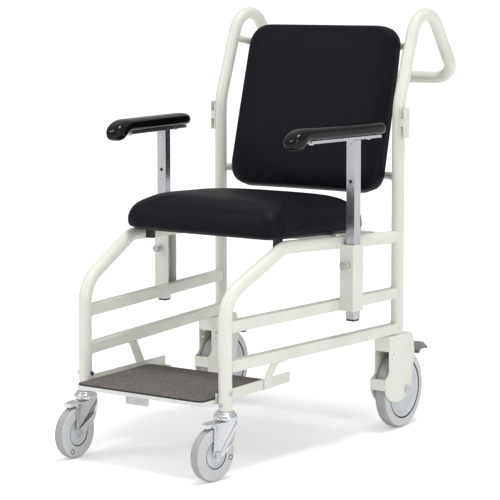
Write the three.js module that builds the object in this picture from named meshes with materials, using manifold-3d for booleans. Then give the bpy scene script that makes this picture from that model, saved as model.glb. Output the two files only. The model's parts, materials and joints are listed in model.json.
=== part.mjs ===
// A nesting hospital transit chair: bent steel side frames, padded seat and back,
// drop-down armrests, swivelling front castors, braked rear wheels and a sliding footboard.
// Millimetres, +Z up. The chair faces -Y, so the sitter's left is +X.
import * as THREE from 'three';
import { mergeVertices } from 'three/addons/utils/BufferGeometryUtils.js';
import Module from 'manifold-3d';

const wasm = await Module();
wasm.setup();

// Driving dimensions
const gap = 0.3; // between pieces that touch
const tubeRadius = 16;
const tubeWall = 2;
const tubeBend = 80; // centreline bend radius of the big tubes
const frontHalfWidth = 205.5; // front leg axis to the middle of the chair
const rearHalfWidth = 274.5; // rear upright axis to the middle: wider, so chairs nest
const wheelBase = 673; // front leg axis to rear upright axis
const sideTurn = Math.atan((rearHalfWidth - frontHalfWidth) / wheelBase);
const sideLength = Math.hypot(rearHalfWidth - frontHalfWidth, wheelBase);

const legBottom = 157;
const legBendHeight = 418.5;
const kneeAlong = 213; // where the sloping front tube turns into the seat rail
const kneeHeight = 514.6;
const seatRailRear = 494.9;
const seatSlope = Math.atan((kneeHeight - seatRailRear) / (sideLength - kneeAlong));

const railHeight = 26;
const railWidth = 25;
const upperRailHeight = 351.5;
const lowerRailHeight = 259;

const leanStart = 828; // height where the upright leans back
const handleTop = [787, 1135.5]; // sharp corners of the handle loop, before bending
const handleHeel = [974, 887];
const handleTopBend = 73;
const pushBarBend = 60;
const pushBarStart = pushBarBend + 6; // where the push bar takes over from the upright

const forkTop = 244.5;
const forkHalfWidth = 22.5;
const forkSheet = 3;
const rearAxle = [686, 100];
const rearWheelRadius = 100;
const pedalPivot = [706, 216];

const castorAxleHeight = 62.5;
const castorTrail = 43;
// How far each castor has swung from straight ahead, left and right
const castorYaw = { left: THREE.MathUtils.degToRad(9), right: THREE.MathUtils.degToRad(1) };
const castorForkHalfWidth = 17.6;
const castorSheet = 2.5;

const armAcross = 37.4; // armrest post axis outside the side frame
const armAlong = 437.6;
const postSize = 25;
const postBottom = 318;
const armBarBottom = 759;
const armBarThick = 8;
const armPadTop = 799;
const socketBottom = 339;
const socketTop = 503;
const plungerHeight = 453;

const seatFront = 172;
const seatRear = 606;
const seatFrontHalf = 222;
const seatRearHalf = 243;
const seatThick = 78;
const seatBoardThick = 8;

const backCentre = [712, 815];
const backLean = THREE.MathUtils.degToRad(14.7);
const backTopHalf = 228;
const backBottomHalf = 232;
const backHalfHeight = 220;
const backFront = -28; // faces of the back, measured from its tilted middle plane
const backRear = 17;
const backBoardRear = 27;
const backTubeRadius = 10;

const boardFront = -66; // footboard
const boardRear = 232;
const boardHalfWidth = 186.5;
const boardTop = 183.3;
const boardLip = 174.4;
const matThick = 3.4;
const runnerBottom = 172;
const runnerTop = 198;

const segments = 24;

const paint = { color: 0xe3e4db, roughness: 0.35, metalness: 0.0 };
const zinc = { color: 0xb9bcc0, roughness: 0.3, metalness: 0.9 };
const plated = { color: 0x9fa2a6, roughness: 0.35, metalness: 0.9 };
const vinyl = { color: 0x1e1d23, roughness: 0.55, metalness: 0.0 };
const padBlack = { color: 0x0e0e10, roughness: 0.2, metalness: 0.0 };
const blackBoard = { color: 0x242428, roughness: 0.7, metalness: 0.0 };
const tyreGrey = { color: 0xa9abae, roughness: 0.7, metalness: 0.0 };
const hubGrey = { color: 0xd4d8df, roughness: 0.45, metalness: 0.0 };
const castGrey = { color: 0x8d9093, roughness: 0.5, metalness: 0.6 };
const trayWhite = { color: 0xf0f0ee, roughness: 0.4, metalness: 0.0 };
const matGrey = { color: 0x6c6663, roughness: 0.9, metalness: 0.0 };
const pullGrey = { color: 0xc9c9c9, roughness: 0.5, metalness: 0.0 };

// One closed surface with shared corners and its faces turned outwards
function weld(geometry) {
  geometry.deleteAttribute('normal');
  geometry.deleteAttribute('uv');
  const merged = mergeVertices(geometry, 1e-3);
  const position = merged.getAttribute('position');
  const [a, b, c] = [new THREE.Vector3(), new THREE.Vector3(), new THREE.Vector3()];
  const faces = [];
  let volume = 0;
  for (let i = 0; i < merged.index.count; i += 3) {
    const face = [0, 1, 2].map((k) => merged.index.getX(i + k));
    if (new Set(face).size < 3) continue;
    [a, b, c].forEach((corner, k) => corner.fromBufferAttribute(position, face[k]));
    volume += a.dot(b.clone().cross(c));
    faces.push(face);
  }
  if (volume < 0) faces.forEach((face) => face.reverse());
  merged.setIndex(faces.flat());
  return merged;
}

function toSolid(geometry) {
  const merged = weld(geometry.clone());
  return new wasm.Manifold(new wasm.Mesh({
    numProp: 3,
    vertProperties: new Float32Array(merged.getAttribute('position').array),
    triVerts: new Uint32Array(merged.index.array),
  }));
}

function toGeometry(solid) {
  const mesh = solid.getMesh();
  const geometry = new THREE.BufferGeometry();
  geometry.setAttribute('position', new THREE.BufferAttribute(mesh.vertProperties, 3));
  geometry.setIndex(new THREE.BufferAttribute(mesh.triVerts, 1));
  return geometry;
}

function join(first, ...others) {
  return toGeometry(others.reduce((sum, other) => sum.add(toSolid(other)), toSolid(first)));
}

function cut(first, ...others) {
  return toGeometry(others.reduce((left, other) => left.subtract(toSolid(other)), toSolid(first)));
}

function mesh(name, geometry, look) {
  const piece = new THREE.Mesh(weld(geometry), new THREE.MeshStandardMaterial(look));
  piece.name = name;
  return piece;
}

// Box between two opposite corners
function block(low, high) {
  const size = high.map((value, k) => value - low[k]);
  const middle = high.map((value, k) => (value + low[k]) / 2);
  return new THREE.BoxGeometry(...size).translate(...middle);
}

// Outline drawn in Y and Z, thickened along X
function sheetAcross(shape, from, to, bevel = {}) {
  const settings = { depth: to - from, bevelEnabled: false, curveSegments: 6, ...bevel };
  const geometry = new THREE.ExtrudeGeometry(shape, settings);
  const turn = new THREE.Matrix4().makeBasis(
    new THREE.Vector3(0, 1, 0), new THREE.Vector3(0, 0, 1), new THREE.Vector3(1, 0, 0),
  );
  return geometry.applyMatrix4(turn).translate(from, 0, 0);
}

// Outline drawn in X and Y, thickened along Z
function sheetUp(shape, from, to, bevel = {}) {
  const settings = { depth: to - from, bevelEnabled: false, curveSegments: 5, ...bevel };
  return new THREE.ExtrudeGeometry(shape, settings).translate(0, 0, from);
}

function outline(points) {
  return new THREE.Shape(points.map(([across, up]) => new THREE.Vector2(across, up)));
}

// Round piece: profile of [radius, distance] pairs turned about X, Y or Z
function turned(profile, axis, sides = segments) {
  const points = profile.map(([radius, along]) => new THREE.Vector2(radius, along));
  const geometry = new THREE.LatheGeometry(points, sides);
  if (axis === 'x') geometry.rotateZ(-Math.PI / 2);
  if (axis === 'z') geometry.rotateX(Math.PI / 2);
  return geometry;
}

function rod(radius, from, to, axis, sides = 24) {
  return turned([[0, from], [radius, from], [radius, to], [0, to]], axis, sides);
}

// Centreline of a bent tube: straight runs joined by arcs, one station at each change
class BentLine extends THREE.Curve {
  constructor(corners, bends, arcSteps) {
    super();
    const points = corners.map((corner) => new THREE.Vector3(...corner));
    const last = points.length - 1;
    const heading = (i) => points[i + 1].clone().sub(points[i]).normalize();
    this.stations = [{ point: points[0], tangent: heading(0) }];
    for (let i = 1; i < last; i++) this.addArc(points[i], heading(i - 1), heading(i), bends[i - 1], arcSteps);
    this.stations.push({ point: points[last], tangent: heading(last - 1) });
  }

  addArc(corner, into, out, radius, arcSteps) {
    const turn = into.angleTo(out);
    const inwards = out.clone().addScaledVector(into, -Math.cos(turn)).normalize();
    const start = corner.clone().addScaledVector(into, -radius * Math.tan(turn / 2));
    const steps = Math.max(2, Math.round(arcSteps * turn));
    for (let k = 0; k <= steps; k++) {
      const angle = (turn * k) / steps;
      const point = start.clone().addScaledVector(into, radius * Math.sin(angle));
      point.addScaledVector(inwards, radius * (1 - Math.cos(angle)));
      const tangent = into.clone().multiplyScalar(Math.cos(angle));
      tangent.addScaledVector(inwards, Math.sin(angle));
      this.stations.push({ point, tangent });
    }
  }

  stationAt(u) {
    return this.stations[Math.round(u * (this.stations.length - 1))];
  }

  getPointAt(u) {
    return this.stationAt(u).point.clone();
  }

  getTangentAt(u) {
    return this.stationAt(u).tangent.clone();
  }
}

function ring(radius, sides) {
  return Array.from({ length: sides }, (_, k) => {
    const angle = (2 * Math.PI * (k + 0.5)) / sides;
    return new THREE.Vector2(radius * Math.cos(angle), radius * Math.sin(angle));
  });
}

// Round tube along a bent centreline; a wall of 0 makes it solid
function bentTube(corners, bends, radius, wall, sides = 12, arcSteps = 4) {
  const line = new BentLine(corners, bends, arcSteps);
  const section = new THREE.Shape(ring(radius, sides));
  if (wall > 0) section.holes.push(new THREE.Path(ring(radius - wall, sides)));
  return new THREE.ExtrudeGeometry(section, {
    steps: line.stations.length - 1, extrudePath: line, bevelEnabled: false,
  });
}

// Four-sided outline with its own rounding at the front and the rear corners
function padOutline(front, rear, frontHalf, rearHalf, frontRound, rearRound) {
  const shape = new THREE.Shape();
  shape.moveTo(-frontHalf + frontRound, front);
  shape.lineTo(frontHalf - frontRound, front);
  shape.quadraticCurveTo(frontHalf, front, frontHalf, front + frontRound);
  shape.lineTo(rearHalf, rear - rearRound);
  shape.quadraticCurveTo(rearHalf, rear, rearHalf - rearRound, rear);
  shape.lineTo(-rearHalf + rearRound, rear);
  shape.quadraticCurveTo(-rearHalf, rear, -rearHalf, rear - rearRound);
  shape.lineTo(-frontHalf, front + frontRound);
  shape.quadraticCurveTo(-frontHalf, front, -frontHalf + frontRound, front);
  return shape;
}

// Side frame, drawn in its own plane: the front leg axis is at 0 and Y runs back along the frame

function uprightCutter() {
  return rod(tubeRadius + gap, 0, 700, 'z', 24).translate(0, sideLength, 0);
}

function frontLeg() {
  const railEnd = seatRailRear + Math.tan(seatSlope) * tubeRadius * 0.5;
  const corners = [
    [0, 0, legBottom], [0, 0, legBendHeight], [0, kneeAlong, kneeHeight],
    [0, sideLength - tubeRadius * 0.5, railEnd],
  ];
  return cut(bentTube(corners, [tubeBend, tubeBend], tubeRadius, tubeWall), uprightCutter());
}

function sideRail(height) {
  const half = [railWidth / 2, railHeight / 2];
  const outer = block([-half[0], 0, height - half[1]], [half[0], sideLength, height + half[1]]);
  const inner = block(
    [-half[0] + tubeWall, -1, height - half[1] + tubeWall],
    [half[0] - tubeWall, sideLength + 1, height + half[1] - tubeWall],
  );
  return cut(outer, inner, rod(tubeRadius + gap, 0, 700, 'z', 24), uprightCutter());
}

// Channel outside the frame that guides the armrest post, open towards the sitter
function armSocket(side) {
  const sheet = 3;
  const web = armAcross + postSize / 2 + gap;
  const [front, rear] = [armAlong - 21.6, armAlong + 20.6];
  const inboard = side * (railWidth / 2 + gap);
  const outboard = side * (web + sheet);
  const xs = (a, b) => [Math.min(a, b), Math.max(a, b)];
  const [x0, x1] = xs(inboard, outboard);
  const [w0, w1] = xs(side * 8, side * web);
  const hollow = block([w0, front + sheet, socketBottom - 1], [w1, rear - sheet, socketTop + 1]);
  const pinHole = rod(4.8, front - 1, front + sheet + 1, 'y').translate(side * armAcross, 0, plungerHeight);
  const seatRailEnds = [[0, kneeAlong, kneeHeight], [0, sideLength, seatRailRear]];
  const seatRail = bentTube(seatRailEnds, [], tubeRadius + gap, 0);
  return cut(block([x0, front, socketBottom], [x1, rear, socketTop]), hollow, pinHole, seatRail);
}

function plungerBody() {
  const front = armAlong - 34;
  const rear = armAlong - 21.6 - gap;
  return turned([[4.3, front], [7.4, front], [8.6, front + 2], [8.6, rear], [4.3, rear], [4.3, front]], 'y', 16);
}

function plungerKnob() {
  const front = armAlong - 44.8;
  const back = armAlong - 34 - gap;
  const pinEnd = armAlong - postSize / 2 - 2 * gap;
  return turned([
    [0, front], [8, front], [10, front + 2], [10, back - 2.5], [8, back], [4, back], [4, pinEnd], [0, pinEnd],
  ], 'y', 16);
}

// Square tube with the hole that the plunger finds when the armrest is lowered
function armPost() {
  const half = postSize / 2;
  const top = armBarBottom - gap;
  const outer = block([-half, -half, postBottom], [half, half, top]);
  const inner = block([-half + 1.5, -half + 1.5, postBottom - 1], [half - 1.5, half - 1.5, top + 1]);
  const holes = [plungerHeight, plungerHeight + 204].map((z) => rod(4.4, -half - 1, 0, 'y', 16).translate(0, 0, z));
  return cut(outer, inner, ...holes);
}

function armBar() {
  const [front, rear] = [258 - armAlong, 536 - armAlong];
  return block([-12.5, front, armBarBottom], [12.5, rear, armBarBottom + armBarThick]);
}

// Moulded pad whose nose turns down at the front
function armPad() {
  const base = armBarBottom + armBarThick + gap;
  const [nose, rear] = [184 - armAlong, 544 - armAlong];
  const round = 7;
  const shape = new THREE.Shape();
  shape.moveTo(nose + 72, base + round);
  shape.quadraticCurveTo(nose + 48, base + round, nose + 18, base - 14);
  shape.quadraticCurveTo(nose + 4, base - 14, nose + round, base + 2);
  shape.quadraticCurveTo(nose + 30, armPadTop - round, nose + 78, armPadTop - round);
  shape.lineTo(rear - 22, armPadTop - round);
  shape.quadraticCurveTo(rear - round, armPadTop - round, rear - round, armPadTop - 20);
  shape.lineTo(rear - round, base + round);
  const bevel = { bevelEnabled: true, bevelThickness: round, bevelSize: round, bevelSegments: 2, steps: 1 };
  return sheetAcross(shape, -28 + round, 28 - round, bevel);
}

// Upright and push handle: each upright leans back and loops over, and one bar joins the two loops
function beforeHeel(distance) {
  const run = Math.hypot(handleHeel[0] - handleTop[0], handleHeel[1] - handleTop[1]);
  return handleHeel.map((value, index) => value + (handleTop[index] - value) * distance / run);
}

function leanRun(radius) {
  return bentTube([[0, wheelBase, 700], [0, wheelBase, leanStart], [0, ...handleTop]], [160], radius, 0, 12);
}

function rearUpright() {
  const corners = [
    [0, wheelBase, forkTop + gap], [0, wheelBase, leanStart],
    [0, ...handleTop], [0, ...beforeHeel(pushBarStart)],
  ];
  return bentTube(corners, [160, handleTopBend], tubeRadius, tubeWall);
}

function pushBar() {
  const [left, right] = [rearHalfWidth, -rearHalfWidth];
  const end = beforeHeel(pushBarStart - gap);
  const corners = [[right, ...end], [right, ...handleHeel], [left, ...handleHeel], [left, ...end]];
  return bentTube(corners, [pushBarBend, pushBarBend], tubeRadius, tubeWall);
}

// Fork around a rear wheel, folded from sheet, with a window in its front
function rearFork() {
  const [axleY, axleZ] = rearAxle;
  const wall = new THREE.Shape();
  wall.moveTo(599, forkTop);
  wall.lineTo(599, 158);
  wall.quadraticCurveTo(599, 147, 578.5, 140);
  wall.lineTo(578.5, 112);
  wall.quadraticCurveTo(590, 76, 640, 74);
  wall.quadraticCurveTo(698, 72, 708, 105);
  wall.lineTo(726, 186);
  wall.quadraticCurveTo(724, 230, 712, forkTop);
  const inside = forkHalfWidth - forkSheet;
  const walls = [-1, 1].map((side) => sheetAcross(wall, side > 0 ? inside : -forkHalfWidth,
    side > 0 ? forkHalfWidth : -inside));
  const bands = [
    block([-forkHalfWidth, 599, 209], [forkHalfWidth, 602, forkTop]),
    block([-forkHalfWidth, 578.5, 112], [forkHalfWidth, 581.5, 140]),
    block([-forkHalfWidth, 599, forkTop - forkSheet], [forkHalfWidth, 712, forkTop]),
  ];
  const across = (radius, y, z) => rod(radius, -40, 40, 'x', 20).translate(0, y, z);
  const holes = [across(8.4, axleY, axleZ), across(4.4, ...pedalPivot), across(3, 619, 202), across(3, 614, 187)];
  return cut(join(walls[0], walls[1], ...bands), ...holes);
}

function tyre(radius, rim, half) {
  return turned([
    [rim, -half + 1], [radius - 9, -half], [radius - 3, -half * 0.8], [radius, -half * 0.4],
    [radius, half * 0.4], [radius - 3, half * 0.8], [radius - 9, half], [rim, half - 1], [rim, -half + 1],
  ], 'x');
}

function hub(rim, bore, boss, half) {
  const web = half * 0.62;
  return turned([
    [bore, -half], [boss, -half], [boss + 2, -web], [rim, -web], [rim, web], [boss + 2, web], [boss, half],
    [bore, half], [bore, -half],
  ], 'x');
}

function axleBolt(radius, head, shoulder, end) {
  return turned([
    [0, -end], [head, -end], [head, -shoulder], [radius, -shoulder], [radius, shoulder],
    [head, shoulder], [head, end], [0, end],
  ], 'x', 12);
}

// Foot brake: a toggle on a cross pin, with its block above the tyre
function brakePedal() {
  const [y, z] = pedalPivot;
  const arm = outline([
    [y - 8, z - 5], [y - 8, z + 5], [y - 2, z + 9], [y + 8, z + 8], [y + 34, z], [y + 66, z - 6], [y + 84, z - 10],
    [y + 108, z - 26], [y + 104, z - 30], [y + 82, z - 27], [y + 58, z - 30], [y + 34, z - 18], [y + 8, z - 8],
    [y - 2, z - 9],
  ]);
  const pin = rod(4, -forkHalfWidth, forkHalfWidth, 'x', 20).translate(0, y, z);
  const shoe = block([-9, y + 62, z - 38], [9, y + 76, z - 20]);
  return join(sheetAcross(arm, -13, 13), pin, shoe);
}

// Bracket on the upright with two slots for hooks
function accessoryClip(side) {
  const [low, high] = [748, 823];
  const outer = 23.5;
  const xs = (a, b) => [Math.min(side * a, side * b), Math.max(side * a, side * b)];
  const [x0, x1] = xs(9, outer);
  const [h0, h1] = xs(0, outer - 2.5);
  const [s0, s1] = xs(13, outer - 2.5);
  const body = block([x0, wheelBase - 15, low], [x1, wheelBase + 15, high]);
  const hollow = block([h0, wheelBase - 12.5, low - 1], [h1, wheelBase + 12.5, high + 1]);
  const slots = [[low - 1, low + 28], [high - 26, high + 1]].map(([z0, z1]) =>
    block([s0, wheelBase - 16, z0], [s1, wheelBase - 12, z1]));
  return cut(body, hollow, ...slots, leanRun(tubeRadius + gap));
}

// Castors: drawn at the swivel axis, rolling towards +Y, wheel trailing to -Y

function castorHead() {
  const stem = tubeRadius - tubeWall - 0.6;
  return turned([
    [0, 136], [25, 136], [28.5, 139], [28.5, 144], [24, 150], [17, 153], [15.5, legBottom - gap],
    [stem, legBottom - gap], [stem, legBottom + 38], [0, legBottom + 38],
  ], 'z', 24);
}

function castorFork() {
  const [axleY, axleZ] = [-castorTrail, castorAxleHeight];
  const crown = 136 - gap;
  const front = -52;
  const boss = 12.5;
  const cheek = new THREE.Shape();
  cheek.moveTo(25, crown);
  cheek.lineTo(front, crown);
  cheek.lineTo(axleY - boss, axleZ);
  cheek.absarc(axleY, axleZ, boss, Math.PI, Math.PI * 1.7, false);
  cheek.quadraticCurveTo(-8, 66, 10, 86);
  cheek.quadraticCurveTo(25, 102, 25, crown);
  const half = castorForkHalfWidth;
  const inside = half - castorSheet;
  const left = sheetAcross(cheek, inside, half);
  const right = sheetAcross(cheek, -half, -inside);
  const top = block([-half, front, 131], [half, 25, crown]);
  const lip = block([-half, front, 126.5], [half, front + castorSheet, crown]);
  const tab = block([-11, front - 18, 127], [11, front + castorSheet, crown]);
  const bore = rod(6.3, -40, 40, 'x', 20).translate(0, axleY, axleZ);
  return cut(join(left, right, top, lip, tab), bore);
}

// Footboard

function boardShape(inset) {
  const half = boardHalfWidth - inset;
  return padOutline(boardFront + inset, boardRear - inset, half, half, 22, 8);
}

function boardTray() {
  const sheet = 2.8;
  const hollow = sheetUp(boardShape(sheet), boardLip - 1, boardTop - sheet);
  return cut(sheetUp(boardShape(0), boardLip, boardTop), hollow);
}

function boardPull() {
  const plate = padOutline(157, boardLip - gap, 33, 33, 4, 0.1);
  const upright = new THREE.ExtrudeGeometry(plate, { depth: 3, bevelEnabled: false, curveSegments: 3 });
  return upright.rotateX(Math.PI / 2).translate(0, boardFront + 3, 0);
}

function boardRunner(side) {
  const sheet = 2;
  const face = frontHalfWidth - tubeRadius - gap;
  const xs = (a, b) => [Math.min(side * a, side * b), Math.max(side * a, side * b)];
  const [w0, w1] = xs(face - sheet, face);
  const [f0, f1] = xs(face - 24, face);
  return join(
    block([w0, -14, runnerBottom], [w1, 300, runnerTop]),
    block([f0, -14, runnerBottom], [f1, 300, runnerBottom + sheet]),
  );
}

// Strap that hangs a runner from the lower side rail
function runnerHanger(side) {
  const face = frontHalfWidth - tubeRadius;
  const top = lowerRailHeight - railHeight / 2 - gap;
  const points = [
    [face + 46.5, top], [face + 46.5, top - 3], [face + 25, top - 3], [face + 3, runnerTop - 2],
    [face + 3, runnerBottom], [face, runnerBottom], [face, runnerTop - 1], [face + 23, top],
  ].map(([x, z]) => [side * x, z]);
  const strap = new THREE.ExtrudeGeometry(outline(points), { depth: 33, bevelEnabled: false });
  return strap.rotateX(Math.PI / 2).translate(0, 216, 0);
}

// Seat, drawn with Z up from the seat rails' axis and tilted with them

function seatShape(inset) {
  return padOutline(seatFront + inset, seatRear - inset, seatFrontHalf - inset, seatRearHalf - inset,
    34 - inset / 2, 50 - inset / 2);
}

const seatBase = tubeRadius + gap;

function seatBoard() {
  const plate = sheetUp(seatShape(14), seatBase, seatBase + seatBoardThick);
  const feet = [-1, 1].map((side) => block([side * 190 - 11, 238, -9], [side * 190 + 11, 249, seatBase + 2]));
  return join(plate, ...feet);
}

function seatCushion() {
  const round = 24;
  const bevel = { bevelEnabled: true, bevelThickness: round, bevelSize: round, bevelSegments: 4, steps: 1 };
  const body = sheetUp(seatShape(round), seatBase + round, seatBase + seatThick - round, bevel);
  const pocket = sheetUp(seatShape(14 - gap), seatBase - 1, seatBase + seatBoardThick + gap);
  return cut(body, pocket);
}

function seatCrossRail(along, height, half) {
  const outer = block([-half, along - 12.5, height - 8], [half, along + 12.5, height + 8]);
  const inner = block([-half - 1, along - 10.5, height - 6], [half + 1, along + 10.5, height + 6]);
  return cut(outer, inner);
}

// Back, drawn upright about its middle and tilted with the sitter

function backShape(inset) {
  const up = backHalfHeight - inset;
  return padOutline(-up, up, backBottomHalf - inset, backTopHalf - inset, 50 - inset / 2, 50 - inset / 2);
}

function backCushion() {
  const round = 14;
  const bevel = { bevelEnabled: true, bevelThickness: round, bevelSize: round, bevelSegments: 3, steps: 1 };
  const body = new THREE.ExtrudeGeometry(backShape(round), {
    depth: backRear - backFront - 2 * round, curveSegments: 5, ...bevel,
  });
  return body.rotateX(Math.PI / 2).translate(0, backRear - round, 0);
}

function backBoard() {
  const depth = backBoardRear - backRear - gap;
  const body = new THREE.ExtrudeGeometry(backShape(10), { depth, bevelEnabled: false, curveSegments: 5 });
  return body.rotateX(Math.PI / 2).translate(0, backBoardRear, 0);
}

// Cross tube that bows behind the back between the two uprights
function backCrossTube(along, height, start, sag) {
  const half = rearHalfWidth - 4;
  const inner = half - 45;
  const corners = [
    [-half, start, height], [-inner, along, height - sag], [inner, along, height - sag], [half, start, height],
  ];
  const tube = bentTube(corners, [18, 18], backTubeRadius, 1.5, 10, 4);
  const uprights = [-1, 1].map((side) => leanRun(tubeRadius + gap).translate(side * rearHalfWidth, 0, 0));
  const lower = [-1, 1].map((side) => rod(tubeRadius + gap, 400, 760, 'z')
    .translate(side * rearHalfWidth, wheelBase, 0));
  return cut(tube, ...uprights, ...lower);
}

function backStrap() {
  return block([-15, backBoardRear + gap, -196], [15, backBoardRear + gap + 4, 196]);
}

const chair = new THREE.Group();

function placed(parent, x, y, z, turnX = 0, turnZ = 0) {
  const group = new THREE.Group();
  group.position.set(x, y, z);
  group.rotation.set(turnX, 0, turnZ);
  parent.add(group);
  return group;
}

function addSide(side, hand) {
  const sidePlane = placed(chair, side * frontHalfWidth, 0, 0, 0, -side * sideTurn);
  sidePlane.add(
    mesh(`front_leg_${hand}`, frontLeg(), paint),
    mesh(`upper_side_rail_${hand}`, sideRail(upperRailHeight), paint),
    mesh(`lower_side_rail_${hand}`, sideRail(lowerRailHeight), paint),
    mesh(`armrest_socket_${hand}`, armSocket(side), paint),
  );
  const plunger = placed(sidePlane, side * armAcross, 0, plungerHeight);
  plunger.add(
    mesh(`plunger_body_${hand}`, plungerBody(), zinc),
    mesh(`plunger_knob_${hand}`, plungerKnob(), plated),
  );
  const armrest = placed(sidePlane, side * armAcross, armAlong, 0);
  armrest.add(
    mesh(`armrest_post_${hand}`, armPost(), zinc),
    mesh(`armrest_bar_${hand}`, armBar(), zinc),
    mesh(`armrest_pad_${hand}`, armPad(), padBlack),
  );
}

function addRear(side, hand) {
  const rear = placed(chair, side * rearHalfWidth, 0, 0);
  rear.add(
    mesh(`rear_upright_${hand}`, rearUpright(), paint),
    mesh(`rear_fork_${hand}`, rearFork(), paint),
    mesh(`brake_pedal_${hand}`, brakePedal(), castGrey),
    mesh(`accessory_clip_${hand}`, accessoryClip(side), paint),
  );
  const wheel = placed(rear, 0, ...rearAxle);
  wheel.add(
    mesh(`rear_tyre_${hand}`, tyre(rearWheelRadius, 74, 17), tyreGrey),
    mesh(`rear_hub_${hand}`, hub(74 - gap, 8.3, 22, 18.8), hubGrey),
    mesh(`rear_axle_${hand}`, axleBolt(8, 11, forkHalfWidth + gap, forkHalfWidth + 5), zinc),
  );
}

function addCastor(side, hand) {
  const stem = placed(chair, side * frontHalfWidth, 0, 0);
  stem.add(mesh(`castor_head_${hand}`, castorHead(), zinc));
  const swivel = placed(stem, 0, 0, 0, 0, -castorYaw[hand]);
  swivel.add(mesh(`castor_fork_${hand}`, castorFork(), zinc));
  const wheel = placed(swivel, 0, -castorTrail, castorAxleHeight);
  wheel.add(
    mesh(`castor_tyre_${hand}`, tyre(castorAxleHeight, 31, 13), tyreGrey),
    mesh(`castor_hub_${hand}`, hub(31 - gap, 6.4, 11, 14.4), hubGrey),
    mesh(`castor_axle_${hand}`, axleBolt(6, 8.5, castorForkHalfWidth + gap, castorForkHalfWidth + 4), zinc),
  );
}

for (const [side, hand] of [[1, 'left'], [-1, 'right']]) {
  addSide(side, hand);
  addRear(side, hand);
  addCastor(side, hand);
  chair.add(
    mesh(`footboard_runner_${hand}`, boardRunner(side), paint),
    mesh(`runner_hanger_${hand}`, runnerHanger(side), paint),
  );
}

chair.add(
  mesh('footboard_tray', boardTray(), trayWhite),
  mesh('footboard_mat', sheetUp(boardShape(1.5), boardTop + gap, boardTop + gap + matThick), matGrey),
  mesh('footboard_pull', boardPull(), pullGrey),
  mesh('push_bar', pushBar(), paint),
  mesh('back_cross_tube_upper', backCrossTube(798, 992, 734, 18), paint),
  mesh('back_cross_tube_lower', backCrossTube(712, 645, 673, 0), paint),
);

const seatAxisFront = seatRailRear + Math.tan(seatSlope) * wheelBase;
const seat = placed(chair, 0, 0, seatAxisFront, -seatSlope);
seat.add(
  mesh('seat_board', seatBoard(), blackBoard),
  mesh('seat_cushion', seatCushion(), vinyl),
  mesh('seat_cross_rail_front', seatCrossRail(430, 8, 231.5), paint),
  mesh('seat_cross_rail_rear', seatCrossRail(590, 8, 247.5), paint),
);

const back = placed(chair, 0, ...backCentre, -backLean);
back.add(mesh('back_cushion', backCushion(), vinyl), mesh('back_board', backBoard(), blackBoard));
for (const [side, hand] of [[1, 'left'], [-1, 'right']]) {
  const strap = mesh(`back_strap_${hand}`, backStrap(), castGrey);
  strap.position.x = side * 150;
  back.add(strap);
}

// Stand the chair on the floor with the middle of its footprint at the origin
chair.updateMatrixWorld(true);
const box = new THREE.Box3().setFromObject(chair, true);
const middle = box.getCenter(new THREE.Vector3());
chair.position.set(-middle.x, -middle.y, -box.min.z);

export default chair;
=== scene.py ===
import json
import math

import bmesh
import bpy
from mathutils import Matrix, Vector

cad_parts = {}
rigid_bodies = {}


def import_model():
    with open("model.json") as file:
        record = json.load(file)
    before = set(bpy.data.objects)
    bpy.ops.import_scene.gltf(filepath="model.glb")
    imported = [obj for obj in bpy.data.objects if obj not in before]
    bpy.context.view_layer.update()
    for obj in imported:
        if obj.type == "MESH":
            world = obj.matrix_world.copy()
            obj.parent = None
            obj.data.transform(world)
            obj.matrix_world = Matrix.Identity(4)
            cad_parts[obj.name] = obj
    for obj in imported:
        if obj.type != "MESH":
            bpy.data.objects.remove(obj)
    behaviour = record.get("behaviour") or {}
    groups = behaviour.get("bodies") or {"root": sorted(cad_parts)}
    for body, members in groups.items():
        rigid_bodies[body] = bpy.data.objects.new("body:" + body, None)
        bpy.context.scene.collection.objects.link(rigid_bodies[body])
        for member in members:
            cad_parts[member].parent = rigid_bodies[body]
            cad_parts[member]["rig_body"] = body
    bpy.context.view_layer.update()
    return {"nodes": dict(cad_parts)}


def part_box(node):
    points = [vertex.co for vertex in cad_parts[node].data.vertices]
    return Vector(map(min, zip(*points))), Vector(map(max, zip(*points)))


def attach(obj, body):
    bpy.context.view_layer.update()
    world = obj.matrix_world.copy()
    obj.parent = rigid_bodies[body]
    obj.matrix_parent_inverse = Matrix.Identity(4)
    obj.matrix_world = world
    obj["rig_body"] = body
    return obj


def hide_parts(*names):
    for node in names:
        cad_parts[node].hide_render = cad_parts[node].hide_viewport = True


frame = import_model()
nodes = frame["nodes"]
hands = ((1, "left"), (-1, "right"))
scene = bpy.context.scene


# Places, worked out from the frame. Metres, +Z up, the chair faces -Y.

def middle(name):
    low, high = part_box(name)
    return (low + high) / 2


stem = middle("castor_head_left")
frontHalf, frontY = stem.x, stem.y
rearWheel = middle("rear_tyre_left")
rearHalf = rearWheel.x
wheelBase = 0.673
sideTurn = math.atan((rearHalf - frontHalf) / wheelBase)
sideLength = math.hypot(rearHalf - frontHalf, wheelBase)
seatSlope = math.radians(2.434)
seatAxisFront = 0.5235
backCentre = Vector((0, 0.712, 0.815))
backLean = math.radians(14.7)
castorYaw = {"left": math.radians(9), "right": math.radians(1)}
castorTrail = 0.043
castorRadius = 0.0625
armAcross = 0.0374
armAlong = 0.4376
tubeRadius = 0.016


def sideFrame(side):
    return Matrix.Translation((side * frontHalf, frontY, 0)) @ Matrix.Rotation(-side * sideTurn, 4, "Z")


def armFrame(side):
    return sideFrame(side) @ Matrix.Translation((side * armAcross, armAlong, 0))


def rearFrame(side):
    return Matrix.Translation((side * rearHalf, frontY, 0))


def castorFrame(side, hand):
    turn = Matrix.Rotation(-castorYaw[hand], 4, "Z")
    wheel = Matrix.Translation((0, -castorTrail, castorRadius))
    return Matrix.Translation((side * frontHalf, frontY, 0)) @ turn @ wheel


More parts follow.
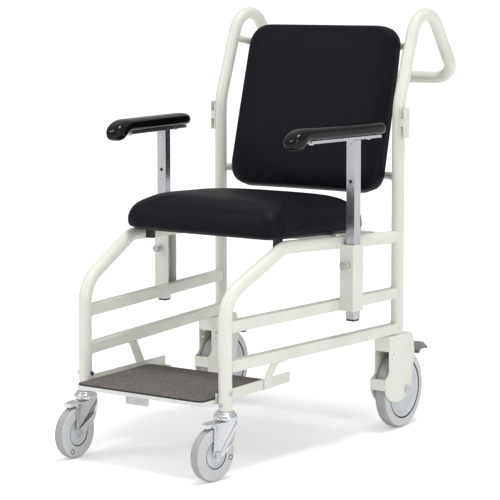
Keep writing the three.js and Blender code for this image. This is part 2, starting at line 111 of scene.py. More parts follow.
seatFrame = Matrix.Translation((0, frontY, seatAxisFront)) @ Matrix.Rotation(-seatSlope, 4, "X")
backFrame = Matrix.Translation(backCentre + Vector((0, frontY, 0))) @ Matrix.Rotation(-backLean, 4, "X")


def localBox(name, matrix):
    inverse = matrix.inverted()
    points = [inverse @ v.co for v in nodes[name].data.vertices]
    return Vector(map(min, *points)), Vector(map(max, *points))


# Shader groups: each puts out Cloud, Grain and Wear for the materials to use

def newNode(tree, kind, **settings):
    node = tree.nodes.new(kind)
    for key, value in settings.items():
        setattr(node, key, value)
    return node


def newGroup(name):
    tree = bpy.data.node_groups.new(name, "ShaderNodeTree")
    for label, start in (("Cloud Scale", 8.0), ("Grain Scale", 500.0)):
        socket = tree.interface.new_socket(name=label, in_out="INPUT", socket_type="NodeSocketFloat")
        socket.default_value = start
    for label in ("Cloud", "Grain", "Wear"):
        tree.interface.new_socket(name=label, in_out="OUTPUT", socket_type="NodeSocketFloat")
    entry = newNode(tree, "NodeGroupInput")
    leave = newNode(tree, "NodeGroupOutput")
    coordinates = newNode(tree, "ShaderNodeTexCoord").outputs["Object"]
    return tree, entry, leave, coordinates


def noiseNode(tree, vector, scale, detail=3.0, roughness=0.55):
    node = newNode(tree, "ShaderNodeTexNoise")
    node.inputs["Detail"].default_value = detail
    node.inputs["Roughness"].default_value = roughness
    tree.links.new(vector, node.inputs["Vector"])
    tree.links.new(scale, node.inputs["Scale"])
    return node


def ranged(tree, value, low, high, toLow=0.0, toHigh=1.0):
    node = newNode(tree, "ShaderNodeMapRange")
    for label, number in (("From Min", low), ("From Max", high), ("To Min", toLow), ("To Max", toHigh)):
        node.inputs[label].default_value = number
    tree.links.new(value, node.inputs["Value"])
    return node.outputs["Result"]


def maths(tree, operation, first, second):
    node = newNode(tree, "ShaderNodeMath", operation=operation)
    for socket, value in zip(node.inputs, (first, second)):
        if isinstance(value, (int, float)):
            socket.default_value = value
        else:
            tree.links.new(value, socket)
    return node.outputs["Value"]


def addWear(tree, leave, cloud):
    # rubbed corners: where the surface is sharp, broken up by the cloud
    sharp = ranged(tree, newNode(tree, "ShaderNodeNewGeometry").outputs["Pointiness"], 0.52, 0.6)
    tree.links.new(maths(tree, "MULTIPLY", sharp, cloud), leave.inputs["Wear"])


def coatDetail():
    # orange peel over slow drifts
    tree, entry, leave, coordinates = newGroup("coatDetail")
    cloud = noiseNode(tree, coordinates, entry.outputs["Cloud Scale"], 4.0)
    spread = ranged(tree, cloud.outputs["Fac"], 0.3, 0.7)
    grain = noiseNode(tree, coordinates, entry.outputs["Grain Scale"], 2.0)
    tree.links.new(spread, leave.inputs["Cloud"])
    tree.links.new(grain.outputs["Fac"], leave.inputs["Grain"])
    addWear(tree, leave, spread)
    return tree


def leatherDetail():
    # rounded cells with fine creases between them
    tree, entry, leave, coordinates = newGroup("leatherDetail")
    cloud = noiseNode(tree, coordinates, entry.outputs["Cloud Scale"], 5.0)
    spread = ranged(tree, cloud.outputs["Fac"], 0.3, 0.7)
    cells = newNode(tree, "ShaderNodeTexVoronoi", feature="DISTANCE_TO_EDGE")
    tree.links.new(coordinates, cells.inputs["Vector"])
    tree.links.new(entry.outputs["Grain Scale"], cells.inputs["Scale"])
    pores = noiseNode(tree, coordinates, entry.outputs["Grain Scale"], 3.0)
    creases = ranged(tree, cells.outputs["Distance"], 0.0, 0.25)
    height = maths(tree, "ADD", creases, maths(tree, "MULTIPLY", pores.outputs["Fac"], 0.5))
    tree.links.new(spread, leave.inputs["Cloud"])
    tree.links.new(height, leave.inputs["Grain"])
    addWear(tree, leave, spread)
    return tree


def brushedDetail():
    # long fine lines up the piece, and plating spangle
    tree, entry, leave, coordinates = newGroup("brushedDetail")
    stretch = newNode(tree, "ShaderNodeMapping")
    stretch.inputs["Scale"].default_value = (1.0, 1.0, 0.04)
    tree.links.new(coordinates, stretch.inputs["Vector"])
    lines = noiseNode(tree, stretch.outputs["Vector"], entry.outputs["Grain Scale"], 4.0, 0.7)
    spangle = noiseNode(tree, coordinates, entry.outputs["Cloud Scale"], 6.0, 0.7)
    patch = ranged(tree, spangle.outputs["Fac"], 0.35, 0.65)
    tree.links.new(patch, leave.inputs["Cloud"])
    tree.links.new(lines.outputs["Fac"], leave.inputs["Grain"])
    addWear(tree, leave, patch)
    return tree


def speckleDetail():
    # small flecks of crumb in a sheet
    tree, entry, leave, coordinates = newGroup("speckleDetail")
    flecks = newNode(tree, "ShaderNodeTexVoronoi")
    tree.links.new(coordinates, flecks.inputs["Vector"])
    tree.links.new(entry.outputs["Grain Scale"], flecks.inputs["Scale"])
    patches = noiseNode(tree, coordinates, entry.outputs["Cloud Scale"], 6.0, 0.75)
    dots = ranged(tree, flecks.outputs["Distance"], 0.45, 0.15)
    light = maths(tree, "MULTIPLY", dots, ranged(tree, patches.outputs["Fac"], 0.42, 0.58))
    tree.links.new(light, leave.inputs["Cloud"])
    tree.links.new(flecks.outputs["Distance"], leave.inputs["Grain"])
    addWear(tree, leave, patches.outputs["Fac"])
    return tree


groups = {
    "coat": coatDetail(),
    "leather": leatherDetail(),
    "brushed": brushedDetail(),
    "speckle": speckleDetail(),
}


# Materials: colour and other are the two ends of the cloud, worn is what rubbing shows

def makeMaterial(name, group, colour, other, worn, rough, metallic=0.0, coat=0.0, specular=0.5, sheen=0.0,
                 cloud=8.0, grain=500.0, bump=0.1, depth=0.0003):
    material = bpy.data.materials.new(name)
    material.use_nodes = True
    tree = material.node_tree
    shader = tree.nodes["Principled BSDF"]
    detail = newNode(tree, "ShaderNodeGroup", node_tree=groups[group])
    detail.inputs["Cloud Scale"].default_value = cloud
    detail.inputs["Grain Scale"].default_value = grain
    base = newNode(tree, "ShaderNodeMix", data_type="RGBA")
    base.inputs["A"].default_value = (*colour, 1)
    base.inputs["B"].default_value = (*other, 1)
    tree.links.new(detail.outputs["Cloud"], base.inputs["Factor"])
    rubbed = newNode(tree, "ShaderNodeMix", data_type="RGBA")
    rubbed.inputs["B"].default_value = (*worn, 1)
    tree.links.new(base.outputs["Result"], rubbed.inputs["A"])
    tree.links.new(detail.outputs["Wear"], rubbed.inputs["Factor"])
    tree.links.new(rubbed.outputs["Result"], shader.inputs["Base Color"])
    tree.links.new(ranged(tree, detail.outputs["Cloud"], 0, 1, *rough), shader.inputs["Roughness"])
    relief = newNode(tree, "ShaderNodeBump")
    relief.inputs["Strength"].default_value = bump
    relief.inputs["Distance"].default_value = depth
    tree.links.new(detail.outputs["Grain"], relief.inputs["Height"])
    tree.links.new(relief.outputs["Normal"], shader.inputs["Normal"])
    shader.inputs["Metallic"].default_value = metallic
    shader.inputs["Coat Weight"].default_value = coat
    shader.inputs["Coat Roughness"].default_value = 0.12
    shader.inputs["Specular IOR Level"].default_value = specular
    shader.inputs["Sheen Weight"].default_value = sheen
    return material


looks = {
    "frame_paint": dict(group="coat", colour=(0.84, 0.845, 0.765), other=(0.80, 0.808, 0.725),
                        worn=(0.66, 0.66, 0.62), rough=(0.28, 0.36), coat=0.35, grain=260.0, bump=0.06),
    "bright_zinc": dict(group="brushed", colour=(0.71, 0.73, 0.75), other=(0.79, 0.81, 0.83),
                        worn=(0.80, 0.80, 0.81), rough=(0.22, 0.28), metallic=0.95, cloud=22.0, grain=900.0,
                        bump=0.05),
    "fastener_zinc": dict(group="brushed", colour=(0.50, 0.51, 0.53), other=(0.66, 0.67, 0.69),
                          worn=(0.8, 0.8, 0.8), rough=(0.22, 0.38), metallic=0.95, cloud=300.0, grain=900.0),
    "plunger_grey": dict(group="brushed", colour=(0.42, 0.42, 0.42), other=(0.55, 0.55, 0.55),
                         worn=(0.7, 0.7, 0.7), rough=(0.25, 0.4), metallic=0.9, cloud=260.0, grain=900.0),
    "post_steel": dict(group="brushed", colour=(0.53, 0.55, 0.58), other=(0.59, 0.61, 0.64),
                       worn=(0.8, 0.8, 0.82), rough=(0.24, 0.3), metallic=0.95, cloud=12.0, grain=1100.0,
                       bump=0.08),
    "arm_pad_black": dict(group="coat", colour=(0.004, 0.004, 0.005), other=(0.006, 0.006, 0.007),
                          worn=(0.02, 0.02, 0.02), rough=(0.08, 0.14), specular=0.24, grain=700.0,
                          bump=0.03),
    "tyre_grey": dict(group="coat", colour=(0.60, 0.607, 0.613), other=(0.66, 0.667, 0.672),
                      worn=(0.38, 0.38, 0.37), rough=(0.5, 0.65), cloud=30.0, grain=900.0, bump=0.12),
    "tread_grey": dict(group="coat", colour=(0.36, 0.365, 0.37), other=(0.46, 0.465, 0.47),
                       worn=(0.24, 0.24, 0.23), rough=(0.6, 0.8), cloud=45.0, grain=700.0, bump=0.25),
    "hub_grey": dict(group="coat", colour=(0.60, 0.635, 0.68), other=(0.66, 0.69, 0.73),
                     worn=(0.5, 0.5, 0.52), rough=(0.32, 0.45), cloud=25.0, grain=600.0, bump=0.06),
    "cast_grey": dict(group="coat", colour=(0.13, 0.135, 0.14), other=(0.27, 0.275, 0.28),
                      worn=(0.55, 0.55, 0.56), rough=(0.35, 0.55), metallic=0.6, cloud=90.0, grain=1500.0,
                      bump=0.3),
    "strap_grey": dict(group="coat", colour=(0.26, 0.26, 0.27), other=(0.32, 0.32, 0.33),
                       worn=(0.5, 0.5, 0.5), rough=(0.4, 0.5), grain=500.0),
    "tray_white": dict(group="coat", colour=(0.86, 0.86, 0.85), other=(0.80, 0.80, 0.79),
                       worn=(0.6, 0.6, 0.58), rough=(0.3, 0.42), cloud=18.0, grain=400.0, bump=0.05),
    "mat_speckled": dict(group="speckle", colour=(0.128, 0.112, 0.104), other=(0.46, 0.43, 0.41),
                         worn=(0.2, 0.18, 0.17), rough=(0.75, 0.9), cloud=120.0, grain=300.0, bump=0.4,
                         depth=0.0005, specular=0.3),
    # near black: the footboard mat's own edge strip, and painted shade in the gaps where tyres meet their hubs
    "black_edge_and_gap_shade": dict(group="coat", colour=(0.012, 0.012, 0.013), other=(0.03, 0.029, 0.028),
                     worn=(0.06, 0.06, 0.06), rough=(0.5, 0.7), cloud=60.0, grain=900.0, bump=0.2),
    "pull_grey": dict(group="coat", colour=(0.60, 0.60, 0.60), other=(0.66, 0.66, 0.66),
                      worn=(0.45, 0.45, 0.45), rough=(0.4, 0.55), cloud=40.0, grain=800.0),
    "vinyl_black": dict(group="leather", colour=(0.0046, 0.0042, 0.0082), other=(0.0064, 0.0058, 0.0104),
                        worn=(0.025, 0.024, 0.03), rough=(0.45, 0.52), specular=0.12,
                        cloud=7.0, grain=1100.0, bump=0.12, depth=0.0002),
    "board_black": dict(group="coat", colour=(0.016, 0.016, 0.017), other=(0.03, 0.03, 0.031),
                        worn=(0.09, 0.07, 0.05), rough=(0.45, 0.6), cloud=35.0, grain=350.0, bump=0.2),
    "dark_plastic": dict(group="coat", colour=(0.02, 0.02, 0.021), other=(0.035, 0.035, 0.037),
                         worn=(0.08, 0.08, 0.08), rough=(0.35, 0.5), cloud=60.0, grain=900.0, bump=0.15),
}
materials = {name: makeMaterial(name, **settings) for name, settings in looks.items()}
print("materials", len(materials))


# Making pieces

def makePiece(name, bm, slot, body, matrix=None, stands=(), sharp=35, also=()):
    if matrix:
        bmesh.ops.transform(bm, matrix=matrix, verts=bm.verts)
    bmesh.ops.recalc_face_normals(bm, faces=bm.faces)
    mesh = bpy.data.meshes.new(name)
    bm.to_mesh(mesh)
    bm.free()
    for look in (slot, *also):
        mesh.materials.append(materials[look])
    mesh.shade_smooth()
    mesh.set_sharp_from_angle(angle=math.radians(sharp))
    piece = bpy.data.objects.new(name, mesh)
    scene.collection.objects.link(piece)
    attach(piece, body)
    if stands:
        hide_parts(*stands)
    return piece


def softEdges(piece, width, segments=3, angle=38):
    bevel = piece.modifiers.new("edges", "BEVEL")
    bevel.width = width
    bevel.segments = segments
    bevel.limit_method = "ANGLE"
    bevel.angle_limit = math.radians(angle)
    bevel.harden_normals = True
    return piece


def rounder(piece, levels):
    surface = piece.modifiers.new("rounder", "SUBSURF")
    surface.levels = levels
    surface.render_levels = levels
    return piece


def mergedNode(name):
    bm = bmesh.new()
    bm.from_mesh(nodes[name].data)
    bmesh.ops.remove_doubles(bm, verts=bm.verts, dist=1e-5)
    bmesh.ops.dissolve_limit(bm, angle_limit=math.radians(1), verts=bm.verts, edges=bm.edges)
    bm.normal_update()
    return bm


def refine(name, slot, width=0.001, sharp=35, also=(), edgeLook=None):
    # a merged copy of a CAD node, with its edges broken
    bm = mergedNode(name)
    if edgeLook:
        # a strip of the edge look shows all round the top
        tops = [face for face in bm.faces if face.normal.z > 0.5]
        edgeStrip = 0.0042
        bmesh.ops.inset_region(bm, faces=tops, thickness=edgeStrip)
        for face in bm.faces:
            face.material_index = 0 if face in tops else 1
        also = (edgeLook,)
    body = nodes[name]["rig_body"]
    piece = makePiece(f"{name}_fine", bm, slot, body, stands=(name,), sharp=sharp, also=also)
    return softEdges(piece, width) if width else piece


def spun(profile, steps=72, closed=True):
    # profile points are (across, radius), turned about X
    bm = bmesh.new()
    verts = [bm.verts.new((across, 0, radius)) for across, radius in profile]
    follow = verts[1:] + verts[:1] if closed else verts[1:]
    edges = [bm.edges.new(pair) for pair in zip(verts, follow)]
    bmesh.ops.spin(bm, geom=verts + edges, cent=(0, 0, 0), axis=(1, 0, 0), angle=2 * math.pi,
                   steps=steps, use_merge=True)
    bmesh.ops.remove_doubles(bm, verts=bm.verts, dist=1e-6)
    return bm


def mirrored(half):
    return half + [(-across, radius) for across, radius in reversed(half)]


def filleted(corners, bends, steps=14):
    # straight runs through the corners, with an arc of the given radius at each inner one
    points = [Vector(corners[0])]
    for corner, bend, before, after in zip(corners[1:-1], bends, corners[:-2], corners[2:]):
        corner = Vector(corner)
        back = (Vector(before) - corner).normalized()
        ahead = (Vector(after) - corner).normalized()
        opening = back.angle(ahead)
        centre = corner + (back + ahead).normalized() * bend / math.sin(opening / 2)
        start = corner + back * bend / math.tan(opening / 2) - centre
        end = corner + ahead * bend / math.tan(opening / 2) - centre
        sweep = math.pi - opening
        for step in range(steps + 1):
            share = step / steps
            mix = start * math.sin((1 - share) * sweep) + end * math.sin(share * sweep)
            points.append(centre + mix / math.sin(sweep))
    points.append(Vector(corners[-1]))
    return points


def addTube(bm, route, radius, across, sides=40, closed=False, ripple=0.0):
    # a round section carried along a flat or gently curved route
    rings = []
    count = len(route)
    for index, point in enumerate(route):
        before = route[(index - 1) % count] if closed else route[max(index - 1, 0)]
        after = route[(index + 1) % count] if closed else route[min(index + 1, count - 1)]
        along = (after - before).normalized()
        up = along.cross(across).normalized()
        side = up.cross(along)
        size = radius * (1 + ripple * math.sin(index * 2.1))
        ring = [bm.verts.new(point + size * (math.cos(turn) * side + math.sin(turn) * up))
                for turn in (2 * math.pi * k / sides for k in range(sides))]
        rings.append(ring)
    pairs = list(zip(rings, rings[1:]))
    if closed:
        pairs.append((rings[-1], rings[0]))
    for one, two in pairs:
        for k in range(sides):
            bm.faces.new((one[k], one[(k + 1) % sides], two[(k + 1) % sides], two[k]))
    if not closed:
        bm.faces.new(rings[0])
        bm.faces.new(rings[-1])
    return bm


def facing(place, direction):
    return Matrix.Translation(place) @ Vector(direction).to_track_quat("Z", "Y").to_matrix().to_4x4()


def addBolt(name, place, direction, radius, height, slot, body, socket=0.5, sides=32):
    # a turned head with a chamfer and a socket in its face, standing on place
    bm = bmesh.new()
    bmesh.ops.create_cone(bm, cap_ends=True, segments=sides, radius1=radius, radius2=radius * 0.97,
                          depth=height)
    bmesh.ops.translate(bm, vec=(0, 0, height / 2), verts=bm.verts)
    top = max(bm.faces, key=lambda face: face.calc_center_median().z)
    bmesh.ops.bevel(bm, geom=list(top.edges), offset=height * 0.28, segments=3, profile=0.5,
                    affect="EDGES", material=-1)
    if socket:
        top = max(bm.faces, key=lambda face: (face.calc_center_median().z, face.calc_area()))
        bmesh.ops.inset_region(bm, faces=[top], thickness=radius * (1 - socket) * 0.8)
        bmesh.ops.translate(bm, vec=(0, 0, -height * 0.45), verts=list(top.verts))
    return makePiece(name, bm, slot, body, facing(place, direction))


# Tubes of the two side frames

def frontLegTube(side, hand):
    leg = dict(bottom=0.157, bendHeight=0.4185, knee=(0.213, 0.5146), railRear=0.4949, bend=0.08)
    corners = [(0, 0, leg["bottom"]), (0, 0, leg["bendHeight"]), (0, *leg["knee"]),
               (0, sideLength - 0.012, leg["railRear"])]
    bm = addTube(bmesh.new(), filleted(corners, [leg["bend"]] * 2), tubeRadius, Vector((1, 0, 0)))
    piece = makePiece(f"front_leg_tube_{hand}", bm, "frame_paint", "frame", sideFrame(side),
                      (f"front_leg_{hand}",), sharp=50)
    return softEdges(piece, 0.001)


handle = dict(top=Vector((0, 0.787, 1.1355)), heel=Vector((0, 0.974, 0.887)), topBend=0.073, barBend=0.06)
handleRun = (handle["heel"] - handle["top"]).normalized()


def rearUprightTube(side, hand):
    upright = dict(leanStart=0.828, leanBend=0.16)
    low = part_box(f"rear_upright_{hand}")[0].z
    end = handle["heel"] - handleRun * (handle["barBend"] + 0.006)
    corners = [(0, wheelBase, low), (0, wheelBase, upright["leanStart"]), handle["top"], end]
    route = filleted(corners, [upright["leanBend"], handle["topBend"]], 18)
    bm = addTube(bmesh.new(), route, tubeRadius, Vector((1, 0, 0)))
    return makePiece(f"rear_upright_tube_{hand}", bm, "frame_paint", "frame", rearFrame(side),
                     (f"rear_upright_{hand}",), sharp=50)


def pushBarTube():
    left = Vector((rearHalf, frontY, 0)) + handle["heel"]
    right = Vector((-rearHalf, frontY, 0)) + handle["heel"]
    stub = handleRun * (handle["barBend"] + 0.0062)
    route = filleted([right - stub, right, left, left - stub], [handle["barBend"]] * 2, 18)
    bm = addTube(bmesh.new(), route, tubeRadius, Vector((1, 0, 0)).cross(handleRun))
    return makePiece("push_bar_tube", bm, "frame_paint", "frame", None, ("push_bar",), sharp=50)


def weldRing(axisAlong, facingSign, low, high):
    # follows a square rail's outline where it meets a round tube
    half, grow = 0.0125, 0.0008
    outline = []
    steps = 12
    for start, end in (((-half, low), (half, low)), ((half, low), (half, high)),
                       ((half, high), (-half, high)), ((-half, high), (-half, low))):
        for step in range(steps):
            share = step / steps
            across = start[0] + (end[0] - start[0]) * share
            height = start[1] + (end[1] - start[1]) * share
            reach = math.sqrt((tubeRadius + grow) ** 2 - across ** 2)
            outline.append(Vector((across, axisAlong + facingSign * reach, height)))
    return outline


def railWelds(side, hand):
    bead, ripple = 0.0017, 0.18
    bm = bmesh.new()
    for name in (f"upper_side_rail_{hand}", f"lower_side_rail_{hand}"):
        low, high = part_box(name)
        for axisAlong, facingSign in ((0, 1), (sideLength, -1)):
            outline = weldRing(axisAlong, facingSign, low.z, high.z)
            addTube(bm, outline, bead, Vector((0, 1, 0)), 8, True, ripple)
    return makePiece(f"rail_welds_{hand}", bm, "frame_paint", "frame", sideFrame(side), sharp=80)


def legBolts(side, hand):
    bolt = dict(level=0.2, radius=0.0062, head=0.0042, nutRadius=0.006, nutHeight=0.005, nutGap=0.0005)
    screw = dict(level=0.173, radius=0.0055, head=0.003, sunk=0.0006)
    cross = sideFrame(side)
    outward = cross.to_3x3() @ Vector((side, 0, 0))
    centre = cross @ Vector((0, 0, bolt["level"]))
    addBolt(f"runner_bolt_{hand}", centre + outward * tubeRadius, outward, bolt["radius"], bolt["head"],
            "fastener_zinc", "frame")
    inner = centre - outward * (tubeRadius + bolt["nutGap"])
    addBolt(f"runner_nut_{hand}", inner, -outward, bolt["nutRadius"], bolt["nutHeight"],
            "dark_plastic", "frame", 0, 6)
    front = cross @ Vector((0, -tubeRadius + screw["sunk"], screw["level"]))
    addBolt(f"stem_screw_{hand}", front, (0, -1, 0), screw["radius"], screw["head"],
            "fastener_zinc", "frame")


for side, hand in hands:
    frontLegTube(side, hand)
    rearUprightTube(side, hand)
    railWelds(side, hand)
    legBolts(side, hand)
    for name in ("upper_side_rail", "lower_side_rail"):
        refine(f"{name}_{hand}", "frame_paint", 0.0028)
    refine(f"armrest_socket_{hand}", "frame_paint", 0.0022)
    refine(f"rear_fork_{hand}", "frame_paint", 0.0011)
    refine(f"accessory_clip_{hand}", "frame_paint", 0.0009)
    refine(f"footboard_runner_{hand}", "frame_paint", 0.0009)
    refine(f"runner_hanger_{hand}", "frame_paint", 0.001)
    refine(f"back_strap_{hand}", "strap_grey", 0.0008)
pushBarTube()
for name in ("seat_cross_rail_front", "seat_cross_rail_rear"):
    refine(name, "frame_paint", 0.0012)
for name in ("back_cross_tube_upper", "back_cross_tube_lower"):
    refine(name, "frame_paint", 0, 50)
print("frame")


# Wheels

def paintRings(bm, rings):
    # each look covers the faces whose middle lies between two radii about X
    for face in bm.faces:
        centre = face.calc_center_median()
        radius = math.hypot(centre.y, centre.z)
        for look, (low, high) in rings.items():
            if low < radius < high:
                face.material_index = look


def castorWheel(side, hand):
    tyre = dict(radius=castorRadius, half=0.013, rim=0.031)
    edge = tyre["radius"]
    profile = [(-tyre["half"] + 0.0022, tyre["rim"]), (-tyre["half"] + 0.0022, tyre["rim"] + 0.0009),
               (-tyre["half"], tyre["rim"] + 0.0022),
               (-tyre["half"], edge - 0.007), (-tyre["half"] + 0.0006, edge - 0.0045),
               (-tyre["half"] + 0.0022, edge - 0.0022), (-tyre["half"] + 0.005, edge - 0.0007),
               (-0.003, edge)]
    bm = spun(mirrored(profile), 96)
    # ring 2 paints the tyre's inner bead near black: painted shade in the gap against the hub
    paintRings(bm, {1: (edge - 0.003, math.inf), 2: (0, tyre["rim"] + 0.0016)})
    body = f"castor_wheel_{hand}"
    place = castorFrame(side, hand)
    makePiece(f"castor_tyre_round_{hand}", bm, "tyre_grey", body, place, (f"castor_tyre_{hand}",), 40,
              ("tread_grey", "black_edge_and_gap_shade"))
    hub = [(-0.0144, 0.0066), (-0.0144, 0.0098), (-0.0132, 0.0112), (-0.009, 0.0125), (-0.0082, 0.016),
           (-0.0086, 0.0255), (-0.0116, 0.0278), (-0.0124, 0.0292), (-0.0124, 0.0306), (-0.0116, 0.0307)]
    makePiece(f"castor_hub_round_{hand}", spun(mirrored(hub), 72), "hub_grey", body, place,
              (f"castor_hub_{hand}",), 40)
    hole = dict(radius=0.049, turn=math.radians(-15 if side > 0 else -118), width=0.0066)
    across = tyre["half"]
    eyelet = [(0.0004, hole["width"]), (0.0007, hole["width"] - 0.0006), (0.0004, hole["width"] - 0.0018),
              (-0.0006, hole["width"] - 0.0022), (-0.0006, 0)]
    out = place @ Matrix.Translation((across, hole["radius"] * math.cos(hole["turn"]),
                                      hole["radius"] * math.sin(hole["turn"])))
    makePiece(f"castor_eyelet_{hand}", spun([(-0.0006, hole["width"])] + eyelet, 28, False), "dark_plastic",
              body, out, sharp=60)


def rearWheelPieces(side, hand):
    place = Matrix.Translation((side * rearHalf, rearWheel.y, rearWheel.z))
    body = f"rear_wheel_{hand}"
    edge, half, rim = rearWheel.z, 0.017, 0.0745
    profile = [(-half + 0.0025, rim), (-half + 0.0003, rim + 0.0018), (-half, rim + 0.006),
               (-half, edge - 0.011), (-half + 0.0008, edge - 0.007), (-half + 0.003, edge - 0.0032),
               (-half + 0.0065, edge - 0.0009), (-0.004, edge)]
    bm = spun(mirrored(profile), 120)
    # ring 2 paints the tyre's inner bead near black: painted shade in the gap against the hub disc
    paintRings(bm, {1: (edge - 0.005, math.inf), 2: (0, rim + 0.0014)})
    makePiece(f"rear_tyre_round_{hand}", bm, "tyre_grey", body, place, (f"rear_tyre_{hand}",), 40,
              ("tread_grey", "black_edge_and_gap_shade"))
    disc = [(-0.0188, 0.0085), (-0.0188, 0.0195), (-0.0172, 0.0222), (-0.0125, 0.0245), (-0.0112, 0.030),
            (-0.0112, 0.058), (-0.0128, 0.0605), (-0.0128, 0.0625), (-0.0152, 0.065), (-0.0158, 0.068),
            (-0.0158, 0.0725), (-0.0145, 0.0737)]
    bm = spun(mirrored(disc), 96)
    # the disc's outer lip is painted near black: painted shade in the gap against the tyre
    discEdge = 0.0727
    paintRings(bm, {1: (discEdge, math.inf)})
    makePiece(f"rear_hub_round_{hand}", bm, "hub_grey", body, place, (f"rear_hub_{hand}",), 30,
              ("black_edge_and_gap_shade",))


def castorHeadPiece(side, hand):
    # turned raceway and dome under the leg
    low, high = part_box(f"castor_head_{hand}")
    radius = (high.x - low.x) / 2
    base = low.z
    # rise over the base and inset from the full radius, up to the flat top
    steps = [(0.0, 0.0085), (0.0022, 0.0075), (0.0026, 0.0022), (0.0042, 0.0006), (0.0065, 0.0),
             (0.0105, 0.0003), (0.0130, 0.0013), (0.0148, 0.0032), (0.0156, 0.0046), (0.0182, 0.0050),
             (0.0198, 0.0062), (0.0206, 0.0090)]
    profile = [(base, 0), *((base + rise, radius - inset) for rise, inset in steps), (base + 0.0207, 0)]
    turn = Matrix.Translation((side * frontHalf, frontY, 0)) @ Matrix.Rotation(-math.pi / 2, 4, "Y")
    makePiece(f"castor_head_round_{hand}", spun(profile, 64, False), "bright_zinc", "frame", turn,
              (f"castor_head_{hand}",), 50)


def castorForkPiece(side, hand):
    # the cheeks are pressed: their flat faces sink inside a raised border
    name = f"castor_fork_{hand}"
    bm = mergedNode(name)
    across = castorFrame(side, hand).to_3x3() @ Vector((1, 0, 0))
    centre = castorFrame(side, hand).translation
    cheeks = [face for face in bm.faces if abs(face.normal.dot(across)) > 0.99 and face.calc_area() > 1e-3
              and (face.calc_center_median() - centre).dot(across) * face.normal.dot(across) > 0.0165]
    bmesh.ops.inset_individual(bm, faces=cheeks, thickness=0.0035, depth=0)
    bmesh.ops.inset_individual(bm, faces=cheeks, thickness=0.0012, depth=-0.0008)
    piece = makePiece(f"{name}_fine", bm, "bright_zinc", nodes[name]["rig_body"], stands=(name,))
    softEdges(piece, 0.0009)


def pivotCaps(side, hand):
    # plain caps over both ends of the pedal's pivot hole
    cap = dict(along=0.706, level=0.216, out=0.0224, radius=0.0062, height=0.0018)
    for facingSign in (1, -1):
        end = "outer" if facingSign == side else "inner"
        place = Vector((side * rearHalf + facingSign * cap["out"], frontY + cap["along"], cap["level"]))
        addBolt(f"pivot_cap_{hand}_{end}", place, (facingSign, 0, 0), cap["radius"], cap["height"],
                "frame_paint", "frame", 0)


for side, hand in hands:
    castorForkPiece(side, hand)
    pivotCaps(side, hand)
    castorWheel(side, hand)
    rearWheelPieces(side, hand)
    castorHeadPiece(side, hand)
    refine(f"castor_axle_{hand}", "fastener_zinc", 0.0009)
    refine(f"rear_axle_{hand}", "fastener_zinc", 0.0011)
    refine(f"brake_pedal_{hand}", "cast_grey", 0.0012)
print("wheels")


# Armrests

def armPadPiece(side, hand):
    # moulded pad: a dome over a narrower foot, with a nose that turns down in front
    place = armFrame(side)
    low, high = localBox(f"armrest_pad_{hand}", place)
    pad = dict(length=high.y - low.y, half=(high.x - low.x) / 2, base=0.7675, noseDrop=low.z, top=high.z,
               noseRound=0.062, noseFoot=0.030, noseEnd=0.055, noseThick=0.017, tipRound=0.02,
               tipLift=0.013, sideRound=0.034, shoulder=0.008, tailFrom=0.1, tailRound=0.02)
    centre = (high.x + low.x) / 2
    stations = [0.0006, 0.003, 0.008, 0.015, 0.025, 0.036, 0.048, 0.060, 0.072, 0.085, 0.11, 0.16, 0.22,
                0.28, pad["length"] - 0.03, pad["length"] - 0.018, pad["length"] - 0.009, pad["length"] - 0.003,
                pad["length"] - 0.0006]
    sides = 32
    bm = bmesh.new()
    rings = []
    for s in stations:
        nose = min(s / pad["noseRound"], 1)
        curve = math.sqrt(max(1 - (1 - nose) ** 2, 0))
        tail = min((pad["length"] - s) / pad["tailRound"], 1)
        tailCurve = math.sqrt(max(1 - (1 - tail) ** 2, 0))
        noseTop = pad["noseDrop"] + pad["noseThick"]
        top = noseTop + (pad["top"] - noseTop) * curve
        shoulder = pad["base"] + pad["shoulder"]
        if s > pad["tailFrom"]:
            top = shoulder + (top - shoulder) * (0.35 + 0.65 * tailCurve)
        lift = min(max((s - pad["noseFoot"]) / (pad["noseEnd"] - pad["noseFoot"]), 0), 1)
        lift = lift * lift * (3 - 2 * lift)
        front = min(s / pad["tipRound"], 1)
        bottom = pad["noseDrop"] + pad["tipLift"] * (1 - math.sqrt(1 - (1 - front) ** 2))
        bottom += (pad["base"] - pad["noseDrop"]) * lift
        half = pad["half"] * (0.35 + 0.65 * math.sqrt(1 - (1 - min(s / pad["sideRound"], 1)) ** 2))
        half *= 0.55 + 0.45 * tailCurve
        ring = []
        for k in range(sides):
            turn = 2 * math.pi * k / sides
            over, up = math.cos(turn), math.sin(turn)
            across = math.copysign(abs(over) ** 0.72, over) * half
            share = (math.copysign(abs(up) ** (0.85 if up > 0 else 0.5), up) + 1) / 2
            pinch = 1 - 0.16 * (1 - share) ** 1.5
            ring.append(bm.verts.new((centre + across * pinch, low.y + s, bottom + (top - bottom) * share)))
        rings.append(ring)
    for one, two in zip(rings, rings[1:]):
        for k in range(sides):
            bm.faces.new((one[k], one[(k + 1) % sides], two[(k + 1) % sides], two[k]))
    bm.faces.new(rings[0])
    bm.faces.new(rings[-1])
    piece = makePiece(f"armrest_pad_moulded_{hand}", bm, "arm_pad_black", f"armrest_{hand}", place,
                      (f"armrest_pad_{hand}",), 80)
    rounder(piece, 2)


